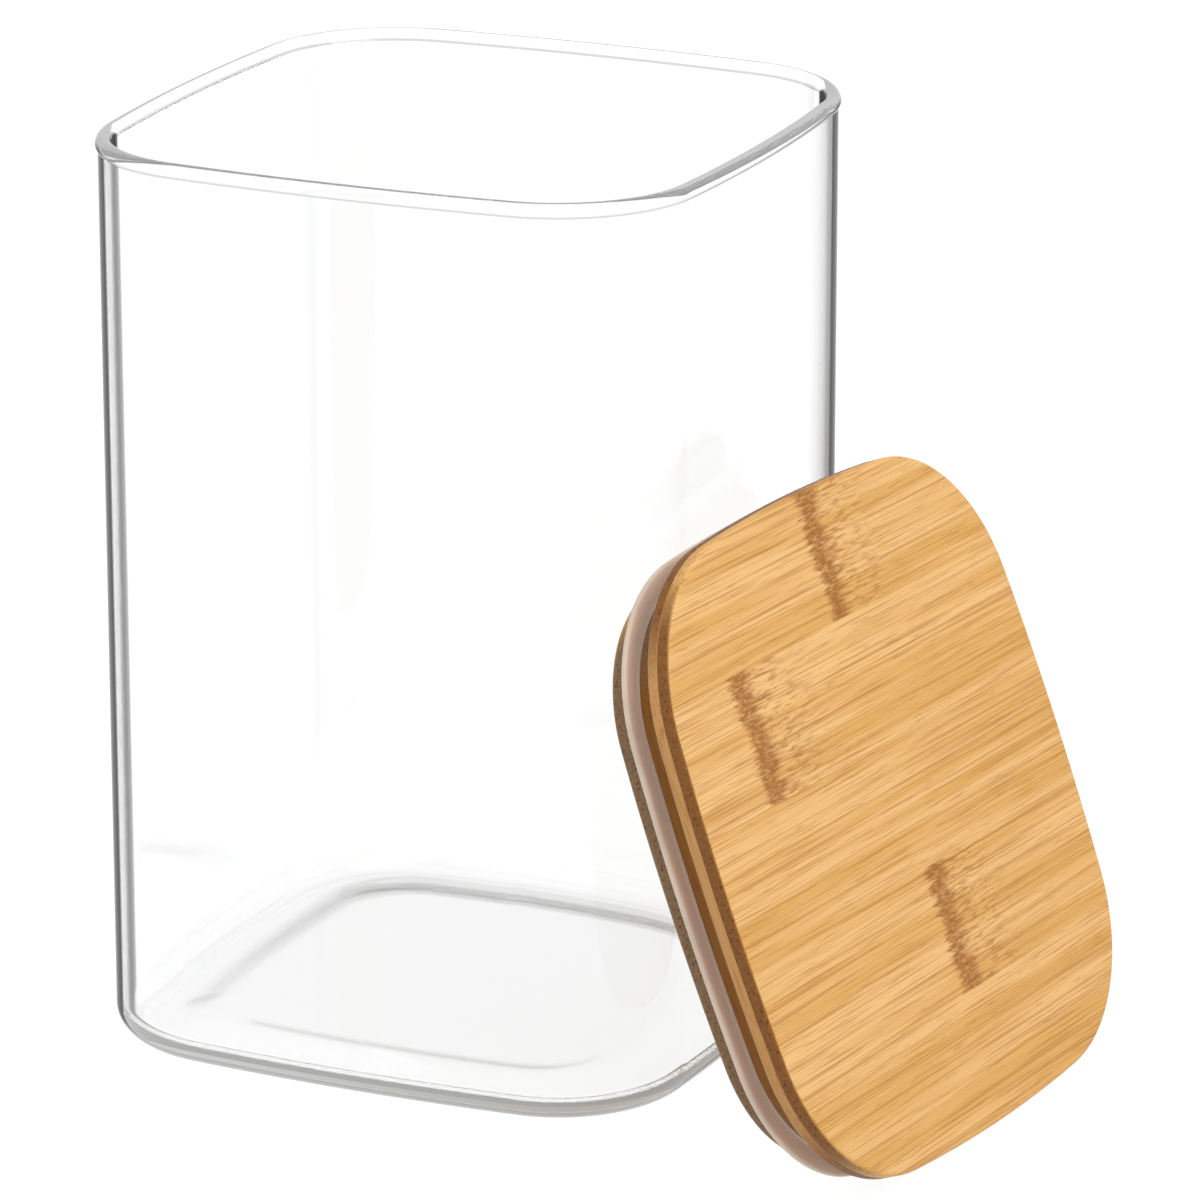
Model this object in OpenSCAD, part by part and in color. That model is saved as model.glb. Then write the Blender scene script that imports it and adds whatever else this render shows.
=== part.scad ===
// Square glass food canister with a bamboo lid and a silicone seal.
// Frame: millimetres, +Z up, origin at the centre of the jar's underside.
// The jar stands open; its lid leans on the +X side with its face outwards.

/* [Jar] */
// Width of the jar across its flat sides
jar_w = 99; // [90:1:130]
// Height of the jar to the top of its rim
jar_h = 146.5; // [110:0.5:220]
// Radius of the jar's upright corners, outside
jar_corner_r = 24.4; // [22:0.2:30]
// Thickness of the glass wall
wall_t = 2.2; // [1.6:0.1:3]
// Thickness of the thickened round rim
rim_bead_d = 2.6; // [2.4:0.1:3.4]
// How far the rim stands proud of the wall outside
rim_proud = 0.4; // [0.2:0.1:1]
// Radius of the rounded heel at the foot of the wall
heel_r = 4.5; // [3:0.5:6]
// Thickness of the glass at the foot ring
foot_t = 2.4; // [2.2:0.1:3.6]
// Height of the hollow under the base, inside the foot ring
punt_h = 1; // [0.5:0.1:1.6]

/* [Lid] */
// Width of the lid across its flat sides
lid_w = 101; // [92:1:132]
// Radius of the lid's corners
lid_corner_r = 28.5; // [24:0.5:32]
// Thickness of the face ply
face_ply_t = 2.1; // [1.5:0.1:3]
// Thickness of the cross ply under it
cross_ply_t = 1.9; // [1.5:0.1:3]
// Thickness of the upper plug ply
plug_upper_t = 4.8; // [3:0.1:6]
// Thickness of the lower plug ply, groove and lip together
plug_lower_t = 5.6; // [4.5:0.1:8]
// How far the plug's side stands in from the lid's edge
plug_inset = 4.5; // [4:0.1:6]

/* [Seal] */
// Height of the groove that holds the seal
groove_h = 2; // [1.6:0.1:2.4]
// Depth of the groove into the plug
groove_d = 2.4; // [1.8:0.1:3]
// Thickness of the sealing fin
fin_t = 1; // [0.8:0.1:1.4]
// How far the fin's tip stands in from the lid's edge
fin_inset = 0.9; // [0.7:0.1:2]

/* [Resting place of the lid] */
// Angle of the lid's face from the upright
lean = 21.3; // [15:0.1:23]
// Turn of the lid about the upright
yaw = -7.8; // [-10:0.1:0]
// Distance of the lid's face centre from the jar's side
face_out = 31.5; // [31.5:0.1:36]
// Place of the lid's face centre along the jar's side
face_y = -21.3; // [-24:0.1:-10]
// Clearance under the lid's lowest point
foot_gap = 0.1; // [0.1:0.1:0.3]

/* [Hidden] */
$fn = 64;

// Inset at which the swept wall and foot end and the base plate begins
sweep_inset = 16;
// Number of glued strips in the face ply, one node each
face_strips = 5;
// Radius of the fillet between the wall and the floor, inside
floor_fillet_r = 3;
// Width of the flat foot ring, measured in from the heel
foot_ring_w = 3.5;
// Length of the slope between the foot ring and the hollow
punt_slope = 2;

jar_half = jar_w / 2;
lid_half = lid_w / 2;
plate_t = face_ply_t + cross_ply_t;
plug_lower_top = plate_t + plug_upper_t;
lid_t = plug_lower_top + plug_lower_t;
strip_w = lid_w / face_strips;
seal_mid = plug_lower_top + groove_h / 2;
fin_tip_r = fin_t / 2;
glass_color = [0.86, 0.9, 0.9, 0.35];
bamboo_color = [0.91, 0.72, 0.46];
cross_color = [0.84, 0.63, 0.4];
plug_color = [0.62, 0.42, 0.22];
silicone_color = [0.86, 0.79, 0.75];

// Square of half width h with round corners, drawn at an inset from its outer line
module rounded_square(h, r, inset = 0) {
    c = h - r;
    union() {
        square([2 * (h - inset), 2 * c], center = true);
        square([2 * c, 2 * (h - inset)], center = true);
        for (x = [-c, c]) for (y = [-c, c])
            translate([x, y]) circle(r = r - inset);
    }
}

// Sweeps a profile round the rounded square: profile x is measured inwards from
// the outer line as a negative number, profile y is the height
module sweep_round(h, r) {
    c = h - r;
    union() {
        for (i = [0 : 3]) {
            rotate(i * 90) translate([h, 0, 0]) rotate([90, 0, 0])
                linear_extrude(2 * c, center = true) children();
            rotate(i * 90) translate([c, c, 0])
                rotate_extrude(angle = 90) translate([r, 0]) children();
        }
    }
}

// Wall, rim, heel and foot of the jar as one profile
module jar_profile() {
    bead_r = rim_bead_d / 2;
    difference() {
        union() {
            translate([-wall_t, heel_r]) square([wall_t, jar_h - heel_r - bead_r]);
            translate([rim_proud - bead_r, jar_h - bead_r]) circle(r = bead_r, $fn = 24);
            // Only the outer lower quarter of the heel's circle is glass
            translate([-heel_r, heel_r]) intersection() {
                circle(r = heel_r, $fn = 32);
                translate([0, -heel_r]) square(heel_r);
            }
            translate([-sweep_inset, 0]) square([sweep_inset - heel_r, foot_t]);
            translate([-wall_t - floor_fillet_r, foot_t - 1])
                square([floor_fillet_r + wall_t - heel_r, floor_fillet_r + 1]);
            translate([-heel_r, heel_r]) square([heel_r - wall_t, foot_t + floor_fillet_r - heel_r]);
            // The floor rises gently towards the middle
            polygon([
                [-wall_t - floor_fillet_r, foot_t],
                [-sweep_inset, foot_t],
                [-sweep_inset, foot_t + punt_h]
            ]);
        }
        translate([-wall_t - floor_fillet_r, foot_t + floor_fillet_r]) circle(r = floor_fillet_r, $fn = 32);
        // Hollow under the base
        polygon([
            [-heel_r - foot_ring_w, -1],
            [-heel_r - foot_ring_w, 0],
            [-heel_r - foot_ring_w - punt_slope, punt_h],
            [-sweep_inset - 1, punt_h],
            [-sweep_inset - 1, -1]
        ]);
    }
}

module glass_jar() {
    color(glass_color) union() {
        sweep_round(jar_half, jar_corner_r) jar_profile();
        translate([0, 0, punt_h]) linear_extrude(foot_t) rounded_square(jar_half, jar_corner_r, sweep_inset);
    }
}

// Stands the lid against the jar: it is drawn face up with its face at z = 0
module leaning() {
    low_r = lid_half - fin_inset;
    low_z = low_r * cos(lean) + (seal_mid + fin_tip_r) * sin(lean);
    translate([jar_half + face_out, face_y, foot_gap + low_z]) rotate([0, 90 - lean, yaw]) children();
}

// A flat layer of the lid from one depth to another
module layer(top, bottom, inset) {
    translate([0, 0, -bottom]) linear_extrude(bottom - top) rounded_square(lid_half, lid_corner_r, inset);
}

// One of the glued strips of the face ply, counted down the slope
module face_strip(i) {
    color(bamboo_color) leaning() intersection() {
        layer(0, face_ply_t, 0);
        translate([-lid_half + (i - 1) * strip_w, -lid_half - 1, -face_ply_t - 1])
            cube([strip_w, lid_w + 2, face_ply_t + 2]);
    }
}

module lid_cross_ply() {
    color(cross_color) leaning() layer(face_ply_t, plate_t, 0);
}

module lid_plug_upper_ply() {
    color(plug_color) leaning() layer(plate_t, plug_lower_top, plug_inset);
}

// Its upper edge is cut back, which leaves the groove for the seal
module lid_plug_lower_ply() {
    color(plug_color) leaning() union() {
        layer(plug_lower_top, plug_lower_top + groove_h, plug_inset + groove_d);
        layer(plug_lower_top + groove_h, lid_t, plug_inset);
    }
}

// Band in the groove and the thin fin that wipes the glass
module seal_profile() {
    translate([-plug_inset - groove_d, -seal_mid - groove_h / 2]) square([groove_d, groove_h]);
    translate([-plug_inset - groove_d / 2, -seal_mid - fin_t / 2])
        square([plug_inset + groove_d / 2 - fin_inset - fin_tip_r, fin_t]);
    translate([-fin_inset - fin_tip_r, -seal_mid]) circle(r = fin_tip_r, $fn = 16);
}

module silicone_seal() {
    color(silicone_color) leaning() sweep_round(lid_half, lid_corner_r) seal_profile();
}

glass_jar();
face_strip(1);  // lid_face_strip_1
face_strip(2);  // lid_face_strip_2
face_strip(3);  // lid_face_strip_3
face_strip(4);  // lid_face_strip_4
face_strip(5);  // lid_face_strip_5
lid_cross_ply();
lid_plug_upper_ply();
lid_plug_lower_ply();
silicone_seal();
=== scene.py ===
"""A square glass canister and its bamboo lid, built around the packed frame of the same object."""

import math

import bmesh
import bpy
from bpy.props import FloatProperty, FloatVectorProperty, PointerProperty
from bpy.types import Operator, Panel, PropertyGroup
from mathutils import Euler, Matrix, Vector


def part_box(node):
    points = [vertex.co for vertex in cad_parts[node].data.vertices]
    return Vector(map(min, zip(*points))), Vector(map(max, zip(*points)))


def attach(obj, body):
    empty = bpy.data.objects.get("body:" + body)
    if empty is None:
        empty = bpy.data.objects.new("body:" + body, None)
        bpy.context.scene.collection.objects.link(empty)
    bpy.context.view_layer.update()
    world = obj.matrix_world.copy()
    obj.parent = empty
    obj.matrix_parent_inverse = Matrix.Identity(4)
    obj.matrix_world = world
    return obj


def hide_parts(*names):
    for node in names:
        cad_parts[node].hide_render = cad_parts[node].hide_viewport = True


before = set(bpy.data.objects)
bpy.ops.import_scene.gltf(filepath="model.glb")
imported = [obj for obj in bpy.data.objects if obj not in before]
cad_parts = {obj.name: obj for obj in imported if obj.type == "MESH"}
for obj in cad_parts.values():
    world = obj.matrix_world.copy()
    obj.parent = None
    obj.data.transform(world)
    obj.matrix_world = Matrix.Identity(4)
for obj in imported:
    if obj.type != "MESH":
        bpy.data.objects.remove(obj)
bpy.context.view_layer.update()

bl_info = {
    "name": "Food Canister",
    "version": (1, 0, 0),
    "blender": (4, 5, 0),
    "location": "View3D > Sidebar > Canister",
    "description": "Builds a square glass canister with a bamboo lid and a silicone seal",
    "category": "Add Mesh",
}

MM = 0.001
RIM_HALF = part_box("glass_jar")[1].x
JAR_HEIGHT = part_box("glass_jar")[1].z
STRIPS = [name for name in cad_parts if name.startswith("lid_face_strip_")]
MIDDLE_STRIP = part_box(f"lid_face_strip_{(len(STRIPS) + 1) // 2}")

# Loops of vertices on each bowed side, on each round corner and on each rounded edge.
SIDE_STEPS = 12
CORNER_STEPS = 22
EDGE_STEPS = 8
# How far a loop that holds the shading lies from its edge.
SUPPORT = 0.4 * MM
# The flat ring inside a profile's last edge, before the cap that closes the piece.
CAP_RING = 2 * MM
# The slight rounding of the plies' sharp edges.
SOFT = 0.12 * MM
# Half the height of the thin upright band that a round edge starts from, or all of it on the jar.
BELT = 0.05 * MM

# The two ways that fibres run on the flat lid.
WITH_FACE = (0, 1, 0)
ACROSS_FACE = (1, 0, 0)


def length(name, description, millimetres):
    """A length that the panel shows, given in millimetres."""
    return FloatProperty(
        name=name, description=description, default=millimetres * MM, min=0, precision=5, unit="LENGTH"
    )


def angle(name, description, degrees):
    """An angle that the panel shows, given in degrees."""
    return FloatProperty(name=name, description=description, default=math.radians(degrees), subtype="ANGLE")


def strength(name, description, value):
    """A brightness or a power that the panel shows."""
    return FloatProperty(name=name, description=description, default=value, min=0)


def colour(name, description, red, green, blue):
    """A colour that the panel shows."""
    return FloatVectorProperty(
        name=name, description=description, default=(red, green, blue), min=0, max=1, size=3, subtype="COLOR"
    )


class JarSizes(PropertyGroup):
    """Sizes of the glass jar."""

    bow: length("Bow", "How far the middle of each side stands out beyond a straight one", 0.5)
    bead: length("Rim bead", "Thickness of the round bead along the rim", 2.6)
    proud: length("Bead proud", "How far the bead stands out from the wall", 0.4)
    side_radius: length("Side bow", "Radius of the slight outward bow of each side", 350)
    corner_radius: length("Corner", "Radius of the upright corners", 22.5)
    heel: length("Heel", "Radius where the wall turns into the base", 4.5)
    fillet: length("Inner fillet", "Radius where the wall meets the floor inside", 3)
    floor: length("Floor", "Thickness of the glass floor at its edge", 2.4)
    kick: length("Kick-up", "Rise of the floor and the underside towards the middle", 1)
    foot: length("Foot ring", "Width of the flat ring that the jar stands on", 3.5)


class LidSizes(PropertyGroup):
    """Sizes of the bamboo lid and its seal, and how the lid leans."""

    width: length("Width", "Width of the lid across the middle of its sides", 101.6)
    side_radius: length("Side bow", "Radius of the slight outward bow of each side", 350)
    corner_radius: length("Corner", "Radius of the corners", 26.4)
    face_ply: length("Face ply", "Thickness of the strips on the face", 2.1)
    cross_ply: length("Cross ply", "Thickness of the ply under the face", 1.9)
    upper_ply: length("Upper plug ply", "Thickness of the upper ply of the plug", 4.8)
    lower_ply: length("Lower plug ply", "Thickness of the lower ply of the plug", 5.6)
    plug_inset: length("Plug inset", "How far the plug is set back from the lid's edge", 4.6)
    face_round: length("Face rounding", "Radius of the rounded edge of the face", 0.7)
    lip_round: length("Lip rounding", "Radius of the rounded edge under the plug", 1.2)
    groove_height: length("Groove height", "Height of the groove that holds the seal", 2)
    groove_depth: length("Groove depth", "Depth of the groove that holds the seal", 2.4)
    fin: length("Fin", "Thickness of the seal's fin", 1)
    fin_inset: length("Fin inset", "How far the fin's edge is set back from the lid's edge", 1.25)
    fin_rise: length("Fin rise", "How far the fin's edge is turned up towards the face", 0.5)
    lean: angle("Lean", "Tilt of the lid from upright as it leans on the jar", 21.3)
    yaw: angle("Yaw", "Turn of the leaning lid about the upright axis", -7.8)


class Finishes(PropertyGroup):
    """Colours of the materials."""

    honey: colour("Honey", "Pale ground of the bamboo face", 0.9, 0.52, 0.165)
    amber: colour("Amber", "Middle tone of the bamboo face", 0.8, 0.43, 0.115)
    streak: colour("Streak", "Dark fibres in the bamboo face", 0.5, 0.2, 0.03)
    joint: colour("Node marks", "Brown of the marks where the cane had its joints", 0.37, 0.122, 0.012)
    # Brown of cut fibre ends, made darker still as painted shade for the lid's side edges that face away
    # from the light.
    end_grain_and_shade: colour("End grain", "Brown of cut fibre ends", 0.24, 0.09, 0.015)
    tan: colour("Cross ply", "Tan of the ply under the face", 0.66, 0.35, 0.125)
    # The plug's dark orange brown is painted shade and painted bounce light: the bamboo darkened and warmed
    # for its recess under the overhanging edge of the lid.
    plug: colour("Plug", "Orange brown of the plug", 0.34, 0.14, 0.02)
    # The lip's grey brown is partly the brown of its cut fibre ends and partly painted shade for its place
    # set back under the lid's edge.
    lip: colour("Lip", "Grey brown of the plug's lip", 0.24, 0.14, 0.068)
    silicone: colour("Silicone", "Pinkish white of the seal", 0.68, 0.55, 0.45)
    glass: colour("Glass", "Tint of the glass seen straight on", 0.957, 0.962, 0.96)
    # Painted light: the grey that stands in for light running along inside the glass.
    painted_piping_grey: colour("Glass depth", "Grey where light runs along inside the glass", 0.66, 0.67, 0.66)
    # Painted shade: the dark grey that stands in for the dark reflections in walls seen edge on.
    glass_edge_shade: colour("Glass edge", "Grey of the glass seen along its surface", 0.04, 0.042, 0.042)


class StageSettings(PropertyGroup):
    """The camera's place and the light."""

    azimuth: angle("Azimuth", "Direction of the camera about the upright axis", 23.82)
    elevation: angle("Elevation", "Height of the camera above the level", 17.91)
    distance: length("Distance", "Distance of the camera from its target", 1116.4)
    target_right: length("Target to the right", "Distance of the target from the jar's axis", 19.8)
    target_height: length("Target height", "Height of the target", 66.65)
    lens: FloatProperty(name="Lens", description="Focal length in millimetres", default=210.9, min=1)
    floor_size: length("Floor size", "Width of the floor", 60000)
    floor_glow: strength("Floor", "Brightness of the floor as it is seen", 0.93)
    floor_fill: strength("Floor fill", "Light that the floor throws up", 0.3)
    world: strength("Surround", "Brightness of the white surround", 0.75)
    key: strength("Key light", "Power of the large light", 9)


def settings(name):
    """The panel's values of one group."""
    return getattr(bpy.context.scene, "canister_" + name)


# Outlines and profiles


def start_edit(size):
    """Adds a small plane at the origin and opens it for editing, with nothing else selected."""
    bpy.ops.object.select_all(action="DESELECT")
    bpy.ops.mesh.primitive_plane_add(size=size)
    bpy.ops.object.mode_set(mode="EDIT")
    bpy.ops.mesh.select_mode(type="VERT")
    return bpy.context.object


def bowed_square(half, side_radius, corner_radius, height):
    """Draws a filled square with bowed sides and round corners, spinning a vertex round its arcs."""
    piece = start_edit(half)
    bpy.ops.mesh.merge(type="CENTER")
    lean = (side_radius - half) / (math.sqrt(2) * (side_radius - corner_radius))
    swing = math.pi / 4 - math.asin(lean)
    side_centre = half - side_radius
    corner_centre = (side_radius - corner_radius) * math.sin(swing)
    start = (side_centre + side_radius * math.cos(swing), -side_radius * math.sin(swing), height)
    bpy.ops.transform.translate(value=start)
    for quarter in range(4):
        turn = Euler((0, 0, quarter * math.pi / 2)).to_matrix()
        arcs = (
            (Vector((side_centre, 0, height)), 2 * swing, SIDE_STEPS),
            (Vector((corner_centre, corner_centre, height)), math.pi / 2 - 2 * swing, CORNER_STEPS),
        )
        for centre, sweep, steps in arcs:
            bpy.ops.mesh.spin(steps=steps, angle=-sweep, center=turn @ centre, axis=(0, 0, 1))
    bpy.ops.mesh.select_all(action="SELECT")
    bpy.ops.mesh.remove_doubles(threshold=0.001 * MM)
    bpy.ops.mesh.edge_face_add()
    bpy.ops.mesh.select_all(action="SELECT")
    mesh = bmesh.from_edit_mesh(piece.data)
    if any(face.normal.z < 0 for face in mesh.faces):
        bpy.ops.mesh.flip_normals()
    return piece


def select_faces(piece, wanted):
    """Selects only the faces for which wanted(face) is true, and says how many there are."""
    bpy.ops.mesh.select_mode(type="FACE")
    bpy.ops.mesh.select_all(action="DESELECT")
    mesh = bmesh.from_edit_mesh(piece.data)
    chosen = [face for face in mesh.faces if wanted(face)]
    for face in chosen:
        face.select = True
    mesh.select_flush_mode()
    bmesh.update_edit_mesh(piece.data)
    return len(chosen)


def cap(piece, side):
    """Selects the flat many-sided face that closes the piece above (side 1) or below (side -1)."""
    select_faces(piece, lambda face: len(face.verts) > 4 and face.normal.z * side > 0.5)


def edge_round(radius, turn=90, sense=1):
    """Profile steps that turn from upright to level round an edge; sense -1 goes down into a hollow."""
    angles = [math.radians(turn) * step / EDGE_STEPS for step in range(EDGE_STEPS + 1)]
    return [
        (
            radius * (math.cos(first) - math.cos(second)),
            sense * radius * (math.sin(second) - math.sin(first)),
        )
        for first, second in zip(angles, angles[1:])
    ]


def edge_turn_down(radius):
    """Profile steps that turn from level to upright, going down over an inner edge."""
    return [(rise, -inset) for inset, rise in edge_round(radius)]


def upright(distance):
    """Profile steps straight along the axis, with a narrow loop at both ends to hold the shading."""
    edge = math.copysign(min(SUPPORT, abs(distance) / 3), distance)
    return [(0, edge), (0, distance - 2 * edge), (0, edge)]


def level(distance):
    """Profile steps straight inwards, with a narrow loop at the start to hold the shading."""
    return [(SUPPORT, 0), (distance - SUPPORT, 0)]


def ease(half, inset, rise):
    """Profile steps that shrink a cap of the given half width by inset, with a smooth rise on the way."""
    heights = [(1 - math.cos(math.pi * step / EDGE_STEPS)) / 2 for step in range(EDGE_STEPS + 1)]
    width = inset / EDGE_STEPS
    return [
        (width, rise * (second - first), half - width * step)
        for step, (first, second) in enumerate(zip(heights, heights[1:]))
    ]


def follow(steps, side):
    """Carries the selected cap inwards and along its normal; a step with a half width shrinks it evenly."""
    for inset, rise, *half in steps:
        if inset > 0 and not half:
            bpy.ops.mesh.inset(thickness=inset, depth=rise)
            continue
        bpy.ops.mesh.extrude_region_move(TRANSFORM_OT_translate={"value": (0, 0, side * rise)})
        if half:
            share = 1 - inset / half[0]
            bpy.ops.transform.resize(value=(share, share, 1), center_override=(0, 0, 0))


def profiled_block(outline, low, high, over, under):
    """Raises an outline from low to high, then shapes its top and its underside by a profile each."""
    piece = bowed_square(*outline, low)
    bpy.ops.mesh.extrude_region_move(TRANSFORM_OT_translate={"value": (0, 0, high - low)})
    for side, steps in ((1, over), (-1, under)):
        cap(piece, side)
        follow(steps, side)
    return piece


def finish_piece(piece, name, body, slot, material, *nodes):
    """Closes editing, gives the piece its material, smooths the shading, ties it to its body and hides its
    nodes.
    """
    if bpy.context.object.mode == "EDIT":
        bpy.ops.object.mode_set(mode="OBJECT")
    piece.name = name
    piece.data.name = name
    piece.data.materials.clear()
    piece.data.materials.append(material)
    bpy.ops.object.select_all(action="DESELECT")
    piece.select_set(True)
    bpy.context.view_layer.objects.active = piece
    bpy.ops.object.shade_smooth_by_angle(angle=math.radians(40))
    # The lid is left out of mirror reflections, which are too faint to see in clear glass on white.
    piece.visible_glossy = body == "jar"
    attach(piece, body)
    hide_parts(*nodes)
    return piece


def lean_on_jar(piece):
    """Puts a piece that was made lying flat, face up, where the lid leans, with its place in its mesh."""
    bpy.ops.object.mode_set(mode="OBJECT")
    piece.location = lid_centre()
    piece.rotation_euler = lid_turn()
    bpy.ops.object.transform_apply(location=True, rotation=True, scale=True)


def lid_turn():
    """The turn from the flat lid to the leaning one."""
    lid = settings("lid")
    return Euler((0, math.pi / 2 - lid.lean, lid.yaw))


def lid_centre():
    """The middle of the lid's face, half a ply out from the middle of the middle strip."""
    normal = lid_turn().to_matrix() @ Vector((0, 0, 1))
    return (MIDDLE_STRIP[0] + MIDDLE_STRIP[1]) / 2 + normal * settings("lid").face_ply / 2


def lid_outline(inset=0):
    """The lid's outline, set back by inset, as half width, side radius and corner radius."""
    lid = settings("lid")
    return lid.width / 2 - inset, lid.side_radius - inset, lid.corner_radius - inset


# Materials


def new_material(name):
    """A material with its node tree and its shader."""
    material = bpy.data.materials.new(name)
    material.use_nodes = True
    return material, material.node_tree, material.node_tree.nodes["Principled BSDF"]


def node(tree, kind, inputs=(), **options):
    """Adds a node; inputs pair a socket with a value or with another node's output."""
    added = tree.nodes.new("ShaderNode" + kind)
    for option, value in options.items():
        setattr(added, option, value)
    for socket, value in inputs:
        if isinstance(value, bpy.types.NodeSocket):
            tree.links.new(value, added.inputs[socket])
        else:
            added.inputs[socket].default_value = value
    return added


def calc(tree, operation, first, second=0.5, third=0.5):
    """The output of a Math node."""
    return node(tree, "Math", ((0, first), (1, second), (2, third)), operation=operation).outputs[0]


def product(tree, first, second):
    """The output of a Math node that multiplies."""
    return calc(tree, "MULTIPLY", first, second)


def band(tree, value, low, high, start=0.0, end=1.0):
    """Eases from start to end as value goes from low to high."""
    limits = (("Value", value), ("From Min", low), ("From Max", high), ("To Min", start), ("To Max", end))
    return node(tree, "MapRange", limits, interpolation_type="SMOOTHSTEP").outputs[0]


def blend_colour(tree, amount, under, over, how="MIX"):
    """The output of a colour mix."""
    sockets = ((0, amount), (6, solid(under)), (7, solid(over)))
    return node(tree, "Mix", sockets, data_type="RGBA", blend_type=how).outputs[2]


def solid(value):
    """A colour with its fourth channel, or an output as it is."""
    return value if isinstance(value, bpy.types.NodeSocket) else (*value, 1)


def noise(tree, place, scale, detail=2.0, offset=0.0, roughness=0.55):
    """Noise of place, stretched by a scale for each axis and slid by offset."""
    move = (("Vector", place), ("Scale", scale), ("Location", (offset, offset, offset)))
    slid = node(tree, "Mapping", move)
    inputs = (("Vector", slid.outputs[0]), ("Scale", 1.0), ("Detail", detail), ("Roughness", roughness))
    return node(tree, "TexNoise", inputs).outputs["Fac"]


def lid_place(tree):
    """Place on the flat lid in millimetres: X down the slope, Y with the face's grain, Z out of it."""
    coordinates = node(tree, "TexCoord")
    inputs = (
        ("Vector", coordinates.outputs["Object"]),
        ("Location", lid_centre()),
        ("Rotation", lid_turn()),
        ("Scale", (MM, MM, MM)),
    )
    return node(tree, "Mapping", inputs, vector_type="TEXTURE").outputs[0]


def end_grain_share(tree, fibre_axis):
    """How far the surface faces along the fibres, from 0 on long grain to 1 on cut ends."""
    fibres = lid_turn().to_matrix() @ Vector(fibre_axis)
    normal = node(tree, "TexCoord").outputs["Normal"]
    facing = node(tree, "VectorMath", ((0, normal), (1, fibres)), operation="DOT_PRODUCT").outputs["Value"]
    return band(tree, calc(tree, "ABSOLUTE", facing), 0.35, 0.8)


def stretched(fibre_axis, across, along):
    """A noise scale that is fine across the fibres and long along them."""
    return tuple(along if axis else across for axis in fibre_axis)


def bamboo(name, tones, fibre_axis, seed, joint_at=None):
    """Bamboo with long straight fibres, speckled cut ends and, where joint_at is given, a cane joint.

    The tones are the pale ground, its darker parts, the dark fibres and the cut ends.
    """
    ground, middle, dark, ends = tones
    material, tree, shader = new_material(name)
    place = lid_place(tree)
    near_joint = None
    if joint_at is not None:
        near_joint, place = joint_zone(tree, place, joint_at)
    broad = noise(tree, place, stretched(fibre_axis, 0.3, 0.008), 2, seed)
    lines = noise(tree, place, stretched(fibre_axis, 1.9, 0.016), 3, seed + 3)
    hairs = noise(tree, place, stretched(fibre_axis, 4.2, 0.05), 2, seed + 7)
    dashes = noise(tree, place, stretched(fibre_axis, 2.6, 0.16), 2, seed + 11)
    tone = blend_colour(tree, band(tree, broad, 0.36, 0.62), middle, ground)
    tone = blend_colour(tree, band(tree, lines, 0.5, 0.68, 0, 0.55), tone, dark)
    tone = blend_colour(tree, band(tree, hairs, 0.5, 0.7, 0, 0.6), tone, dark)
    tone = blend_colour(tree, band(tree, dashes, 0.58, 0.74, 0, 0.4), tone, dark)
    if near_joint is not None:
        tone = joint_mark(tree, tone, place, near_joint)
    bundles = node(tree, "TexVoronoi", (("Vector", place), ("Scale", 1.5))).outputs["Distance"]
    speckle = band(tree, bundles, 0.15, 0.4)
    pale_ends = [min(1, share * 1.4) for share in ends]
    cut_tone = blend_colour(tree, speckle, [share * 0.35 for share in ends], ends)
    cut_tone = blend_colour(tree, band(tree, lines, 0.4, 0.65, 0, 0.7), cut_tone, pale_ends)
    cut = end_grain_share(tree, fibre_axis)
    tree.links.new(blend_colour(tree, cut, tone, cut_tone), shader.inputs["Base Color"])
    tree.links.new(band(tree, hairs, 0.3, 0.7, 0.42, 0.58), shader.inputs["Roughness"])
    relief = calc(tree, "ADD", product(tree, hairs, 0.6), product(tree, lines, 0.4))
    bump = node(tree, "Bump", (("Strength", 0.3), ("Distance", 0.06 * MM), ("Height", relief)))
    tree.links.new(bump.outputs[0], shader.inputs["Normal"])
    shader.inputs["Specular IOR Level"].default_value = 0.3
    return material


def joint_zone(tree, place, joint_at):
    """The distance from a cane joint across the strip, and the place with uneven grain beside it."""
    parts = node(tree, "SeparateXYZ", ((0, place),))
    wander = noise(tree, place, (0.13, 0.04, 0.13), 2, joint_at)
    middle = calc(tree, "MULTIPLY_ADD", wander, 4, joint_at - 2)
    away = calc(tree, "SUBTRACT", parts.outputs["Y"], middle)
    near = product(tree, band(tree, away, -6, 0), band(tree, away, 8, 26, 1, 0))
    wave = calc(tree, "SUBTRACT", noise(tree, place, (0.5, 0.28, 0.5), 2, 20), 0.5)
    shift = product(tree, product(tree, wave, near), 0.4)
    across = calc(tree, "ADD", parts.outputs["X"], shift)
    sockets = ((0, across), (1, parts.outputs["Y"]), (2, parts.outputs["Z"]))
    return away, node(tree, "CombineXYZ", sockets).outputs[0]


def joint_mark(tree, tone, place, away):
    """Adds the brown, fibrous mark of a cane joint, and a fainter stain of short fibres beside it."""
    brown = settings("finishes").joint
    ragged = product(tree, calc(tree, "SUBTRACT", noise(tree, place, (1.4, 0.09, 1.4), 4, 5), 0.5), 9)
    edge = calc(tree, "ADD", away, ragged)
    core = product(tree, band(tree, edge, -3.6, -1.6), band(tree, edge, 0.5, 4.5, 1, 0))
    stain = product(tree, band(tree, edge, -2, 2), band(tree, edge, 4, 24, 1, 0))
    specks = band(tree, noise(tree, place, (2.2, 0.6, 2.2), 3, 9), 0.32, 0.6, 0.45, 1)
    short = band(tree, noise(tree, place, (1.8, 0.26, 1.8), 2, 31), 0.46, 0.66)
    tone = blend_colour(tree, product(tree, stain, product(tree, short, 0.6)), tone, brown)
    tone = blend_colour(tree, product(tree, core, product(tree, specks, 0.92)), tone, brown)
    pits = band(tree, noise(tree, place, (3.2, 2, 3.2), 2, 47), 0.62, 0.7)
    pit_brown = [share * 0.4 for share in brown]
    return blend_colour(tree, product(tree, core, product(tree, pits, 0.8)), tone, pit_brown)


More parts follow.
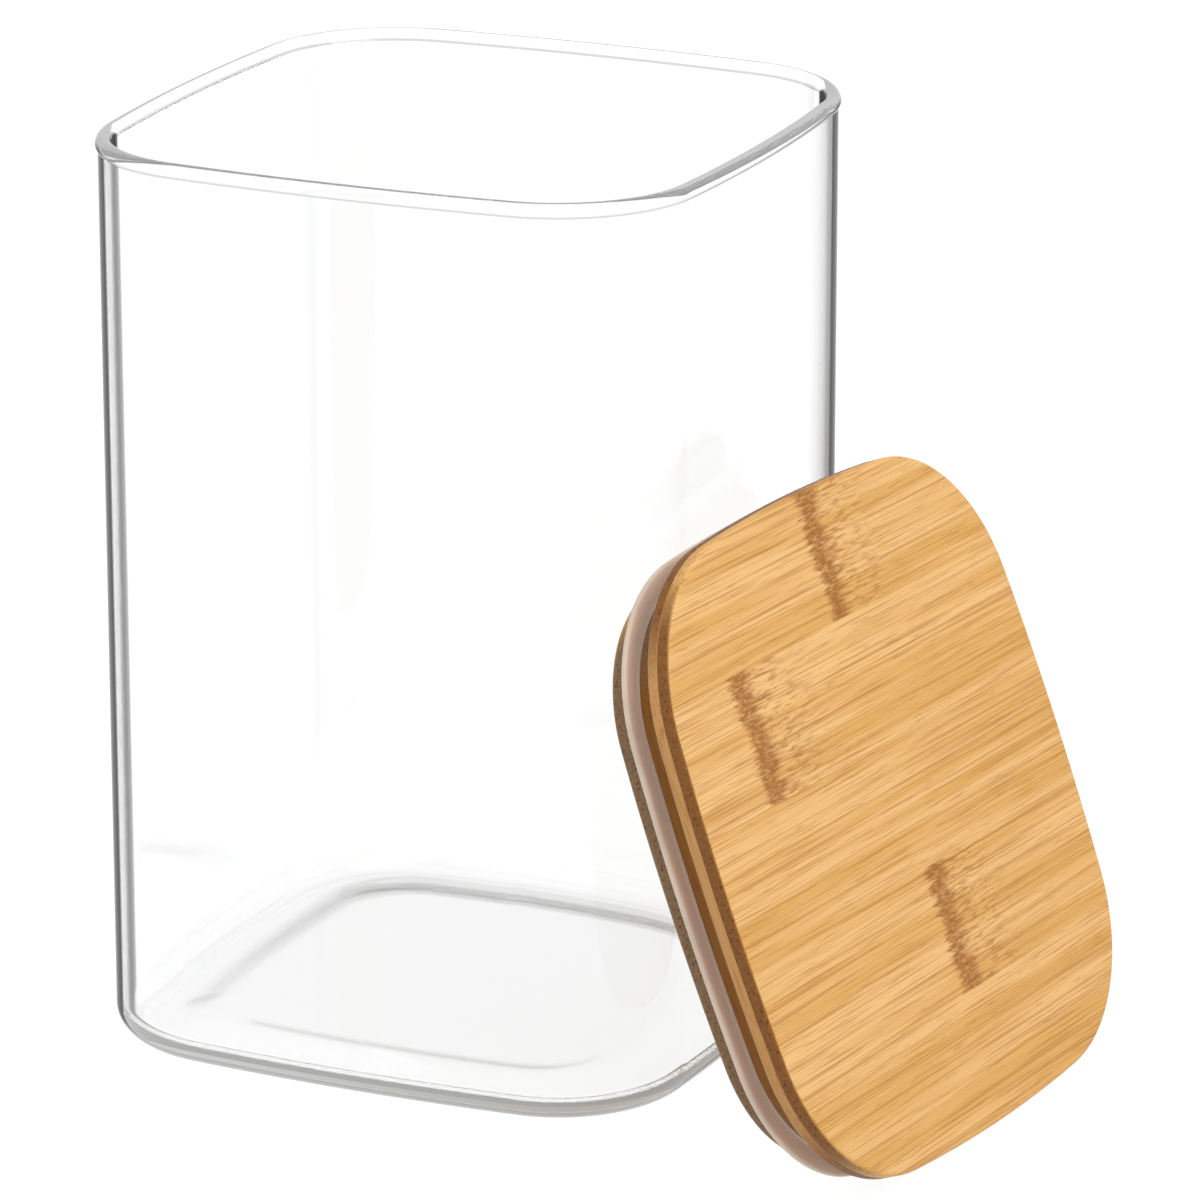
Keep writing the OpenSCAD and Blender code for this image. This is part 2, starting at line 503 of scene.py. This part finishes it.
def clear_glass():
    """Clear glass with painted shade: its upright walls turn dark grey where they are seen along their
    surface, and its inner faces turn light grey where seen at a slant.
    """
    finishes = settings("finishes")
    material, tree, shader = new_material("clear_glass")
    facing = node(tree, "LayerWeight", (("Blend", 0.5),)).outputs["Facing"]
    inner = node(tree, "NewGeometry").outputs["Backfacing"]
    # Painted shade: a dark grey mask at grazing angles on outer faces and in a narrow band near the critical
    # angle on inner faces, weaker on level faces, standing in for the dark reflections there.
    grazing_shade = band(tree, facing, 0.685, 0.74, 0, 0.97)
    rising = band(tree, facing, 0.236, 0.258, 0, 0.8)
    falling = band(tree, facing, 0.268, 0.285, 1, 0.5)
    critical_angle_shade = product(tree, rising, falling)
    dark = node(tree, "Mix", ((0, inner), (2, grazing_shade), (3, critical_angle_shade)), data_type="FLOAT").outputs[0]
    normal = node(tree, "SeparateXYZ", ((0, node(tree, "TexCoord").outputs["Normal"]),))
    wall = band(tree, calc(tree, "ABSOLUTE", normal.outputs["Z"]), 0.1, 0.8, 1, 0.35)
    dark = product(tree, dark, wall)
    # Painted light: inner faces seen at a slant turn partly opaque light grey, standing in for light that
    # runs along inside the glass.
    painted_piping = product(tree, inner, band(tree, facing, 0.36, 0.5))
    tint = blend_colour(tree, dark, finishes.glass, finishes.glass_edge_shade)
    tree.links.new(blend_colour(tree, painted_piping, tint, finishes.painted_piping_grey), shader.inputs["Base Color"])
    clear = calc(tree, "SUBTRACT", 1, calc(tree, "MAXIMUM", dark, painted_piping))
    tree.links.new(clear, shader.inputs["Transmission Weight"])
    tree.links.new(product(tree, clear, 0.5), shader.inputs["Specular IOR Level"])
    shader.inputs["Roughness"].default_value = 0
    shader.inputs["IOR"].default_value = 1.47
    return material


def silicone():
    """Soft translucent silicone with a faint mould texture."""
    finishes = settings("finishes")
    material, tree, shader = new_material("silicone")
    place = node(tree, "TexCoord").outputs["Object"]
    cloud = noise(tree, place, (90, 90, 90), 3)
    pale = [min(1, share * 1.12) for share in finishes.silicone]
    tone = blend_colour(tree, band(tree, cloud, 0.35, 0.65), finishes.silicone, pale)
    tree.links.new(tone, shader.inputs["Base Color"])
    tree.links.new(band(tree, cloud, 0.3, 0.7, 0.34, 0.46), shader.inputs["Roughness"])
    grain = noise(tree, place, (2500, 2500, 2500), 2)
    bump = node(tree, "Bump", (("Strength", 0.12), ("Distance", 0.03 * MM), ("Height", grain)))
    tree.links.new(bump.outputs[0], shader.inputs["Normal"])
    shader.inputs["Subsurface Weight"].default_value = 0.4
    shader.inputs["Subsurface Radius"].default_value = (1, 0.75, 0.6)
    shader.inputs["Subsurface Scale"].default_value = 2 * MM
    return material


# Operators


class CANISTER_OT_glass_jar(Operator):
    """Model the glass jar"""

    bl_idname = "canister.glass_jar"
    bl_label = "Glass Jar"

    def execute(self, context):
        jar = settings("jar")
        half = RIM_HALF + jar.bow
        outline = (half, jar.side_radius + jar.proud, jar.corner_radius + jar.proud)
        bead = jar.bead / 2
        equator = JAR_HEIGHT - bead
        under_bead = math.degrees(math.acos(1 - jar.proud / bead))
        bead_foot = equator - bead * math.sin(math.radians(under_bead))
        ledge = 1.5 * MM
        floor_slope = 11 * MM
        foot_slope = 9 * MM
        inside = [
            *edge_round(bead),
            *edge_turn_down(bead),
            *upright(jar.floor + jar.fillet - equator),
            *edge_round(jar.fillet, sense=-1),
            *level(ledge),
            *ease(half - jar.bead - jar.fillet - ledge, floor_slope, jar.kick),
            *level(CAP_RING),
        ]
        outside = [
            *edge_round(bead, under_bead),
            *upright(bead_foot - jar.heel),
            *edge_round(jar.heel),
            *level(jar.foot),
            *ease(half - jar.proud - jar.heel - jar.foot, foot_slope, -jar.kick),
            *level(CAP_RING),
        ]
        piece = profiled_block(outline, equator - BELT, equator, inside, outside)
        finish_piece(piece, "jar_glass", "jar", "clear_glass", clear_glass(), "glass_jar")
        # The clear jar casts no shadow on the pale floor.
        piece.visible_shadow = False
        piece.visible_diffuse = False
        return {"FINISHED"}


class CANISTER_OT_face_strips(Operator):
    """Model the lid's face ply and cut it into its glued strips"""

    bl_idname = "canister.face_strips"
    bl_label = "Face Strips"

    # Where each marked strip has its cane joint, in millimetres along the grain.
    cane_joints = {1: 1.5, 2: -30, 4: 4}
    # How far each strip's tone leans from amber towards honey.
    paleness = (0.45, 0.8, 0.3, 0.65, 0.5)

    def execute(self, context):
        lid = settings("lid")
        finishes = settings("finishes")
        over = [*edge_round(lid.face_round), *level(CAP_RING)]
        under = [*edge_round(SOFT), *level(CAP_RING)]
        slab = profiled_block(lid_outline(), SOFT - lid.face_ply, -lid.face_round, over, under)
        bpy.ops.object.mode_set(mode="OBJECT")
        width = lid.width / len(STRIPS)
        for index, strip in enumerate(STRIPS, 1):
            left = (index - 1) * width - lid.width / 2
            piece = self.cut_strip(slab, left, left + width)
            share = self.paleness[index - 1]
            honey = [a + (b - a) * share for a, b in zip(finishes.amber, finishes.honey)]
            # Halfway back to honey and a little lighter, so that neighbours differ only slightly.
            honey = [min(1, 0.5 * (a + b) + 0.06) for a, b in zip(honey, finishes.honey)]
            # The cut ends' brown is partly painted shade on the face ply's side edges.
            tones = (honey, finishes.amber, finishes.streak, finishes.end_grain_and_shade)
            joint_at = self.cane_joints.get(index)
            wood = bamboo(f"bamboo_strip_{index}", tones, WITH_FACE, index * 17.3, joint_at)
            lean_on_jar(piece)
            finish_piece(piece, f"face_strip_{index}", "lid", "bamboo_face", wood, strip)
        bpy.data.objects.remove(slab)
        return {"FINISHED"}

    def cut_strip(self, slab, left, right):
        """Copies the slab and cuts away all but the strip between two lines."""
        bpy.ops.object.select_all(action="DESELECT")
        piece = slab.copy()
        piece.data = slab.data.copy()
        bpy.context.scene.collection.objects.link(piece)
        piece.select_set(True)
        bpy.context.view_layer.objects.active = piece
        bpy.ops.object.mode_set(mode="EDIT")
        half = settings("lid").width / 2
        for line, outward in ((left, -1), (right, 1)):
            if abs(line) < half - SUPPORT:
                bpy.ops.mesh.select_all(action="SELECT")
                bpy.ops.mesh.bisect(
                    plane_co=(line, 0, 0), plane_no=(outward, 0, 0), use_fill=True, clear_outer=True
                )
        return piece


class CANISTER_OT_lid_plies(Operator):
    """Model the cross ply and the two plies of the plug"""

    bl_idname = "canister.lid_plies"
    bl_label = "Lid Plies"

    def execute(self, context):
        lid = settings("lid")
        finishes = settings("finishes")
        cross_round = 4 * SOFT
        face_foot = -lid.face_ply
        cross_foot = face_foot - lid.cross_ply
        upper_foot = cross_foot - lid.upper_ply
        lower_foot = upper_foot - lid.lower_ply
        groove_foot = upper_foot - lid.groove_height
        slim = [*edge_round(SOFT), *level(CAP_RING)]

        rounded = [*edge_round(cross_round), *level(CAP_RING)]
        cross = profiled_block(lid_outline(), cross_foot + cross_round, face_foot - SOFT, slim, rounded)
        tones = (finishes.tan, finishes.tan, finishes.streak, finishes.end_grain_and_shade)
        wood = bamboo("bamboo_cross", tones, ACROSS_FACE, 91)
        lean_on_jar(cross)
        finish_piece(cross, "cross_ply", "lid", "bamboo_cross", wood, "lid_cross_ply")

        upper = profiled_block(lid_outline(lid.plug_inset), upper_foot + SOFT, cross_foot - SOFT, slim, slim)
        # The upper ply's orange brown is painted shade for its recess under the lid's edge; its cut ends
        # take the lip's partly shaded brown.
        tones = (finishes.plug, finishes.plug, finishes.end_grain_and_shade, finishes.lip)
        wood = bamboo("bamboo_plug", tones, ACROSS_FACE, 37)
        lean_on_jar(upper)
        finish_piece(upper, "plug_upper_ply", "lid", "bamboo_plug", wood, "lid_plug_upper_ply")

        groove = [
            *edge_round(SOFT),
            *level(lid.groove_depth - SOFT),
            *upright(lid.groove_height),
            *level(CAP_RING),
        ]
        lip = [*edge_round(lid.lip_round), *level(CAP_RING)]
        lower_start = lower_foot + lid.lip_round
        lower = profiled_block(lid_outline(lid.plug_inset), lower_start, groove_foot - SOFT, groove, lip)
        # The cut ends take the lip's grey brown, which is partly painted shade.
        tones = (finishes.amber, finishes.tan, finishes.streak, finishes.lip)
        wood = bamboo("bamboo_lip", tones, WITH_FACE, 53)
        lean_on_jar(lower)
        finish_piece(lower, "plug_lower_ply", "lid", "bamboo_plug", wood, "lid_plug_lower_ply")
        return {"FINISHED"}


class CANISTER_OT_seal(Operator):
    """Model the silicone seal with its band in the groove and its fin"""

    bl_idname = "canister.seal"
    bl_label = "Silicone Seal"

    def execute(self, context):
        lid = settings("lid")
        band_top = -(lid.face_ply + lid.cross_ply + lid.upper_ply)
        band_foot = band_top - lid.groove_height
        middle = (band_top + band_foot) / 2 + lid.fin_rise
        tip = lid.fin / 2 - BELT
        reach = lid.plug_inset - lid.fin_inset - tip
        shoulder = lid.groove_height / 2 - lid.fin / 2
        halves = [
            [
                *edge_round(tip),
                (SUPPORT, 0),
                (reach - SUPPORT, slope),
                *upright(shoulder),
                *level(lid.groove_depth),
            ]
            for slope in (-lid.fin_rise, lid.fin_rise)
        ]
        piece = profiled_block(lid_outline(lid.fin_inset), middle - BELT, middle + BELT, *halves)
        for side in (1, -1):
            cap(piece, side)
            bpy.ops.mesh.delete(type="ONLY_FACE")
        bpy.ops.mesh.select_mode(type="EDGE")
        bpy.ops.mesh.select_all(action="DESELECT")
        mesh = bmesh.from_edit_mesh(piece.data)
        for edge in mesh.edges:
            edge.select = edge.is_boundary
        bmesh.update_edit_mesh(piece.data)
        bpy.ops.mesh.bridge_edge_loops()
        lean_on_jar(piece)
        finish_piece(piece, "seal", "lid", "silicone", silicone(), "silicone_seal")
        return {"FINISHED"}


class CANISTER_OT_stage(Operator):
    """Set up the floor, the light and the camera"""

    bl_idname = "canister.stage"
    bl_label = "Stage"

    def execute(self, context):
        stage = settings("stage")
        self.lay_floor(stage)
        self.light_surround(stage)
        self.hang_key(stage)
        self.place_camera(stage)
        context.scene.view_settings.view_transform = "Standard"
        context.scene.view_settings.look = "None"
        return {"FINISHED"}

    def lay_floor(self, stage):
        """A wide pale floor just under the jar's foot."""
        bpy.ops.object.select_all(action="DESELECT")
        drop = 0.2 * MM
        bpy.ops.mesh.primitive_plane_add(size=stage.floor_size, location=(0, 0, -drop))
        floor = bpy.context.object
        floor.name = "floor"
        material, tree, shader = new_material("pale_floor")
        shader.inputs["Base Color"].default_value = (0.2, 0.2, 0.2, 1)
        shader.inputs["Roughness"].default_value = 1
        shader.inputs["Specular IOR Level"].default_value = 0
        shader.inputs["Emission Color"].default_value = (1, 1, 1, 1)
        lighting = node(tree, "LightPath").outputs["Is Diffuse Ray"]
        tree.links.new(
            calc(tree, "MULTIPLY_ADD", lighting, stage.floor_fill - stage.floor_glow, stage.floor_glow),
            shader.inputs["Emission Strength"],
        )
        floor.data.materials.append(material)

    def light_surround(self, stage):
        """An even white surround."""
        world = bpy.data.worlds.new("surround")
        world.use_nodes = True
        background = world.node_tree.nodes["Background"]
        background.inputs["Color"].default_value = (1, 1, 1, 1)
        background.inputs["Strength"].default_value = stage.world
        bpy.context.scene.world = world

    def hang_key(self, stage):
        """A large soft light to the right of the camera and above it."""
        aim = Vector((0.03, 0, 0.07))
        bpy.ops.object.light_add(type="AREA", location=(1.1, -0.5, 1.2))
        key = bpy.context.object
        key.name = "key_light"
        key.data.energy = stage.key
        key.data.size = 0.9
        key.rotation_euler = (aim - key.location).to_track_quat("-Z", "Y").to_euler()

    def place_camera(self, stage):
        """The camera, looking at a point a little to the right of the jar's axis."""
        right = Vector((math.cos(stage.azimuth), math.sin(stage.azimuth), 0))
        level_out = Vector((math.sin(stage.azimuth), -math.cos(stage.azimuth), 0))
        target = right * stage.target_right + Vector((0, 0, stage.target_height))
        out = level_out * math.cos(stage.elevation) + Vector((0, 0, math.sin(stage.elevation)))
        bpy.ops.object.camera_add(location=target + out * stage.distance)
        camera = bpy.context.object
        camera.rotation_euler = (-out).to_track_quat("-Z", "Y").to_euler()
        camera.data.sensor_width = 36
        camera.data.lens = stage.lens
        camera.data.clip_end = 100
        bpy.context.scene.camera = camera


OPERATORS = (
    CANISTER_OT_stage,
    CANISTER_OT_glass_jar,
    CANISTER_OT_face_strips,
    CANISTER_OT_lid_plies,
    CANISTER_OT_seal,
)


class CANISTER_PT_build(Panel):
    """Sizes and steps of the canister"""

    bl_label = "Food Canister"
    bl_space_type = "VIEW_3D"
    bl_region_type = "UI"
    bl_category = "Canister"

    def draw(self, context):
        for group in GROUPS:
            box = self.layout.box()
            box.label(text=GROUPS[group].__doc__)
            for name in GROUPS[group].__annotations__:
                box.prop(settings(group), name)
        for operator in OPERATORS:
            self.layout.operator(operator.bl_idname)


GROUPS = {"jar": JarSizes, "lid": LidSizes, "finishes": Finishes, "stage": StageSettings}
CLASSES = (*GROUPS.values(), *OPERATORS, CANISTER_PT_build)


def register():
    """Adds the canister's settings, steps and panel."""
    for cls in CLASSES:
        bpy.utils.register_class(cls)
    for name, group in GROUPS.items():
        setattr(bpy.types.Scene, "canister_" + name, PointerProperty(type=group))


def unregister():
    """Takes the canister's settings, steps and panel away again."""
    for name in GROUPS:
        delattr(bpy.types.Scene, "canister_" + name)
    for cls in reversed(CLASSES):
        bpy.utils.unregister_class(cls)


def main():
    """Builds the canister on its stage."""
    register()
    for operator in OPERATORS:
        group, name = operator.bl_idname.split(".")
        getattr(getattr(bpy.ops, group), name)()


if __name__ == "__main__":
    main()
